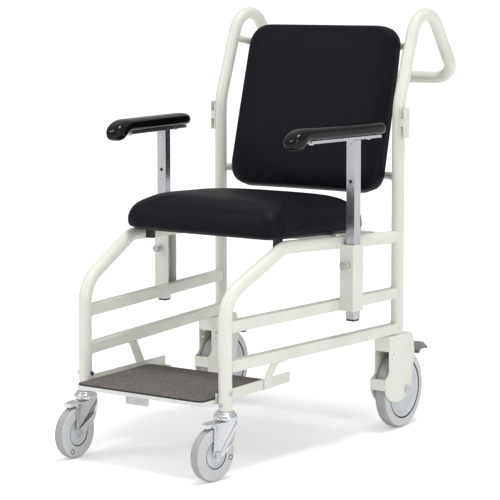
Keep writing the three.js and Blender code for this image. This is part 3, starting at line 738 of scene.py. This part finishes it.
def armDetails(side, hand):
    padScrew = dict(front=0.012, rear=0.04, radius=0.0058, height=0.0032)
    postScrew = dict(below=0.012, radius=0.0042, height=0.0016)
    plug = dict(across=0.0236, thick=0.005, drop=0.0024, edge=0.0012)
    place = armFrame(side)
    body = f"armrest_{hand}"
    low, high = localBox(f"armrest_bar_{hand}", place)
    for number, along in enumerate((low.y + padScrew["front"], high.y - padScrew["rear"])):
        addBolt(f"pad_screw_{number}_{hand}", place @ Vector((0, along, low.z)), (0, 0, -1),
                padScrew["radius"], padScrew["height"], "fastener_zinc", body)
    postLow, postHigh = localBox(f"armrest_post_{hand}", place)
    face = place @ Vector((0, postLow.y, postHigh.z - postScrew["below"]))
    forward = place.to_3x3() @ Vector((0, -1, 0))
    addBolt(f"post_screw_{hand}", face, forward, postScrew["radius"], postScrew["height"],
            "fastener_zinc", body)
    bm = bmesh.new()
    bmesh.ops.create_cube(bm, size=1.0)
    bmesh.ops.scale(bm, vec=(plug["across"], plug["across"], plug["thick"]), verts=bm.verts)
    bmesh.ops.translate(bm, vec=(0, 0, postLow.z - plug["drop"]), verts=bm.verts)
    bmesh.ops.bevel(bm, geom=list(bm.edges), offset=plug["edge"], segments=2, profile=0.5,
                    affect="EDGES", material=-1)
    makePiece(f"post_plug_{hand}", bm, "dark_plastic", body, place)


for side, hand in hands:
    armPadPiece(side, hand)
    armDetails(side, hand)
    refine(f"armrest_post_{hand}", "post_steel", 0.0014)
    refine(f"armrest_bar_{hand}", "post_steel", 0.0012)
    refine(f"plunger_body_{hand}", "fastener_zinc", 0.0006)
    refine(f"plunger_knob_{hand}", "plunger_grey", 0.0011)
print("armrests")


# Footboard

refine("footboard_tray", "tray_white", 0.0018)
refine("footboard_mat", "mat_speckled", 0.0006, edgeLook="black_edge_and_gap_shade")
refine("footboard_pull", "pull_grey", 0.0018)
print("footboard")


# Cushions: a closed shell is blown up a little by a cloth simulation and held near where it started

def roundedOutline(front, rear, frontHalf, rearHalf, frontRound, rearRound, arc=10, run=16):
    # anticlockwise from the front right corner
    corners = [(Vector((frontHalf, front)), frontRound), (Vector((rearHalf, rear)), rearRound),
               (Vector((-rearHalf, rear)), rearRound), (Vector((-frontHalf, front)), frontRound)]
    points = []
    for index, (corner, radius) in enumerate(corners):
        back = (corners[index - 1][0] - corner).normalized()
        ahead = (corners[(index + 1) % 4][0] - corner).normalized()
        start, end = corner + back * radius, corner + ahead * radius
        previous = points[-1] if points else None
        if previous is not None:
            points += [previous.lerp(start, step / run) for step in range(1, run)]
        for step in range(arc + 1):
            share = step / arc
            points.append(start * (1 - share) ** 2 + corner * 2 * share * (1 - share) + end * share ** 2)
    first, last = points[0], points[-1]
    points += [last.lerp(first, step / run) for step in range(1, run)]
    return points


def shell(rings):
    bm = bmesh.new()
    loops = [[bm.verts.new(point) for point in ring] for ring in rings]
    count = len(loops[0])
    for one, two in zip(loops, loops[1:]):
        for k in range(count):
            bm.faces.new((one[k], one[(k + 1) % count], two[(k + 1) % count], two[k]))
    bm.faces.new(loops[0])
    bm.faces.new(loops[-1])
    bmesh.ops.recalc_face_normals(bm, faces=bm.faces)
    return bm


def evenMesh(name, bm, voxel):
    mesh = bpy.data.meshes.new(name)
    bm.to_mesh(mesh)
    bm.free()
    rough = bpy.data.objects.new(name, mesh)
    scene.collection.objects.link(rough)
    remesh = rough.modifiers.new("even", "REMESH")
    remesh.mode = "VOXEL"
    remesh.voxel_size = voxel
    smooth = rough.modifiers.new("smooth", "SMOOTH")
    smooth.factor = 0.5
    smooth.iterations = 3
    made = bpy.data.meshes.new_from_object(rough.evaluated_get(bpy.context.evaluated_depsgraph_get()))
    bpy.data.objects.remove(rough)
    return made


def inflate(mesh, pinned, cap, pressure=4.0, frames=20):
    # pinned says which resting points stay where they are
    body = bpy.data.objects.new("inflating", mesh)
    scene.collection.objects.link(body)
    start = [v.co.copy() for v in mesh.vertices]
    held = body.vertex_groups.new(name="held")
    held.add([v.index for v in mesh.vertices if pinned(v.co)], 1.0, "REPLACE")
    cloth = body.modifiers.new("puff", "CLOTH")
    cloth.settings.vertex_group_mass = "held"
    cloth.settings.quality = 4
    cloth.settings.use_pressure = True
    cloth.settings.uniform_pressure_force = pressure
    cloth.settings.tension_stiffness = 12
    cloth.settings.compression_stiffness = 12
    cloth.settings.bending_stiffness = 2
    cloth.settings.effector_weights.gravity = 0
    cloth.collision_settings.use_collision = False
    cloth.point_cache.frame_start = 1
    cloth.point_cache.frame_end = frames
    for step in range(1, frames + 1):
        scene.frame_set(step)
    moved = body.evaluated_get(bpy.context.evaluated_depsgraph_get()).data
    ends = [v.co.copy() for v in moved.vertices]
    for vertex, before, after in zip(mesh.vertices, start, ends):
        shift = after - before
        vertex.co = before + shift * min(1.0, cap / max(shift.length, 1e-9))
    scene.frame_set(1)
    body.modifiers.clear()
    mesh = mesh.copy()
    bpy.data.objects.remove(body)
    return mesh


def fitAcross(mesh, low, high, axes, proud):
    # stretches the shell over the CAD pad's width, so that smoothing hasn't shrunk it
    for axis in axes:
        values = [v.co[axis] for v in mesh.vertices]
        least, most = min(values), max(values)
        scale = (high[axis] - low[axis] + 2 * proud) / (most - least)
        for vertex in mesh.vertices:
            vertex.co[axis] = low[axis] - proud + (vertex.co[axis] - least) * scale


def cushionPiece(name, mesh, slot, matrix, node):
    bm = bmesh.new()
    bm.from_mesh(mesh)
    for _ in range(2):
        bmesh.ops.smooth_vert(bm, verts=bm.verts, factor=0.5,
                              use_axis_x=True, use_axis_y=True, use_axis_z=True)
    piece = makePiece(name, bm, slot, "frame", matrix, (node,), 180)
    rounder(piece, 1)
    return piece


# profile: inset from the edge and height over the base, from the tucked-in foot up to the crown
seatPad = dict(frontRound=0.045, rearRound=0.1, voxel=0.006, swell=0.005, proud=0.002,
               profile=[(0.009, 0.0), (0.003, 0.006), (0.0, 0.016), (0.0006, 0.030), (0.0035, 0.044),
                        (0.0095, 0.0565), (0.0185, 0.066), (0.031, 0.0735), (0.048, 0.079), (0.072, 0.083),
                        (0.105, 0.0855), (0.142, 0.087), (0.175, 0.0875)])


def seatRings(low, high):
    rings = []
    for inset, height in seatPad["profile"]:
        grow = inset * 0.4
        outline = roundedOutline(low.y + inset, high.y - inset, 0.222 - inset, high.x - inset,
                                 seatPad["frontRound"] + grow, seatPad["rearRound"] + grow)
        rings.append([Vector((point.x, point.y, low.z + 0.001 + height)) for point in outline])
    return rings


def seatCushionPiece():
    low, high = localBox("seat_cushion", seatFrame)
    mesh = evenMesh("seat_even", shell(seatRings(low, high)), seatPad["voxel"])
    mesh = inflate(mesh, lambda point: point.z < low.z + 0.008, seatPad["swell"])
    fitAcross(mesh, low, high, (0, 1), seatPad["proud"])
    cushionPiece("seat_cushion_cover", mesh, "vinyl_black", seatFrame, "seat_cushion")


backPad = dict(corner=0.068, faceRound=0.016, crown=0.004, voxel=0.006, swell=0.004)


def backRings(low, high):
    front, rear = low.y + 0.002, high.y - 0.0005
    topHalf, bottomHalf = 0.228, 0.232

    def ring(inset, depth):
        corner = backPad["corner"] + inset * 0.2
        outline = roundedOutline(low.z + inset, high.z - inset, bottomHalf - inset, topHalf - inset,
                                 corner, corner)
        return [Vector((point.x, depth, point.y)) for point in outline]

    rings = [ring(0.007, rear), ring(0.0015, rear - 0.005), ring(0.0, rear - 0.011)]
    for step in range(9):
        turn = math.pi / 2 * step / 8
        inset = backPad["faceRound"] * (1 - math.cos(turn))
        rings.append(ring(inset, front + backPad["faceRound"] * (1 - math.sin(turn))))
    rings += [ring(0.06, front - 0.0015), ring(0.13, front - backPad["crown"])]
    return rings


def backCushionPiece():
    low, high = localBox("back_cushion", backFrame)
    mesh = evenMesh("back_even", shell(backRings(low, high)), backPad["voxel"])
    mesh = inflate(mesh, lambda point: point.y > high.y - 0.0065, backPad["swell"])
    fitAcross(mesh, low, high, (0, 2), 0.001)
    cushionPiece("back_cushion_cover", mesh, "vinyl_black", backFrame, "back_cushion")


seatCushionPiece()
backCushionPiece()
refine("seat_board", "board_black", 0.0008)
refine("back_board", "board_black", 0.0012)
print("cushions")


# Stage

def makeFloor():
    bm = bmesh.new()
    bmesh.ops.create_grid(bm, x_segments=1, y_segments=1, size=400)
    mesh = bpy.data.meshes.new("floor")
    bm.to_mesh(mesh)
    bm.free()
    floor = bpy.data.objects.new("floor", mesh)
    scene.collection.objects.link(floor)
    material = bpy.data.materials.new("floor")
    material.use_nodes = True
    tree = material.node_tree
    shader = tree.nodes["Principled BSDF"]
    patches = newNode(tree, "ShaderNodeTexNoise")
    patches.inputs["Scale"].default_value = 0.6
    tree.links.new(ranged(tree, patches.outputs["Fac"], 0.3, 0.7, 0.82, 0.9), shader.inputs["Roughness"])
    shader.inputs["Base Color"].default_value = (0.9, 0.9, 0.9, 1)
    shader.inputs["Specular IOR Level"].default_value = 0.15
    shader.inputs["Emission Color"].default_value = (1, 1, 1, 1)
    # the paper sweep reads as white to the camera without lighting the object from below
    seen = newNode(tree, "ShaderNodeLightPath").outputs["Is Camera Ray"]
    tree.links.new(ranged(tree, seen, 0, 1, 0.03, 0.27), shader.inputs["Emission Strength"])
    mesh.materials.append(material)


def makeLight(name, place, aim, size, watts, colour=(1, 1, 1)):
    light = bpy.data.lights.new(name, "AREA")
    light.shape = "RECTANGLE"
    light.size, light.size_y = size
    light.energy = watts
    light.color = colour
    lamp = bpy.data.objects.new(name, light)
    lamp.location = place
    lamp.rotation_euler = (Vector(aim) - Vector(place)).to_track_quat("-Z", "Y").to_euler()
    scene.collection.objects.link(lamp)


def makeSun(direction, strength, softness):
    light = bpy.data.lights.new("ceiling", "SUN")
    light.energy = strength
    light.angle = math.radians(softness)
    lamp = bpy.data.objects.new("ceiling", light)
    lamp.rotation_euler = Vector(direction).to_track_quat("-Z", "Y").to_euler()
    scene.collection.objects.link(lamp)


def makeWorld():
    world = bpy.data.worlds.new("studio")
    world.use_nodes = True
    tree = world.node_tree
    split = newNode(tree, "ShaderNodeSeparateXYZ")
    tree.links.new(newNode(tree, "ShaderNodeTexCoord").outputs["Generated"], split.inputs[0])
    glow = ranged(tree, split.outputs["Z"], -0.25, 0.75, 0.26, 0.66)
    seen = newNode(tree, "ShaderNodeLightPath").outputs["Is Camera Ray"]
    tree.links.new(maths(tree, "MAXIMUM", glow, seen), tree.nodes["Background"].inputs["Strength"])
    tree.nodes["Background"].inputs["Color"].default_value = (1, 1, 1, 1)
    scene.world = world


def makeCamera():
    view = dict(place=(2.69828, -3.58955, 1.12738), azimuth=34.03, down=6.29, lens=139.08, shift=-0.10)
    camera = bpy.data.cameras.new("camera")
    camera.lens = view["lens"]
    camera.sensor_width = 36
    camera.shift_y = view["shift"]
    camera.dof.use_dof = False
    holder = bpy.data.objects.new("camera", camera)
    holder.location = Vector(view["place"]) + Vector((0, frontY, 0))
    holder.rotation_euler = (math.radians(90 - view["down"]), 0, math.radians(view["azimuth"]))
    scene.collection.objects.link(holder)
    scene.camera = holder


makeFloor()
makeWorld()
makeLight("key", (-2.2, -3.0, 2.9), (0, 0, 0.6), (0.45, 2.0), 30)
makeLight("fill", (3.2, -1.6, 1.7), (0, 0, 0.5), (0.8, 2.4), 24)
makeSun((-0.12, 0.0, -1), 1.2, 14)
makeCamera()
scene.view_settings.view_transform = "Standard"
print("stage")
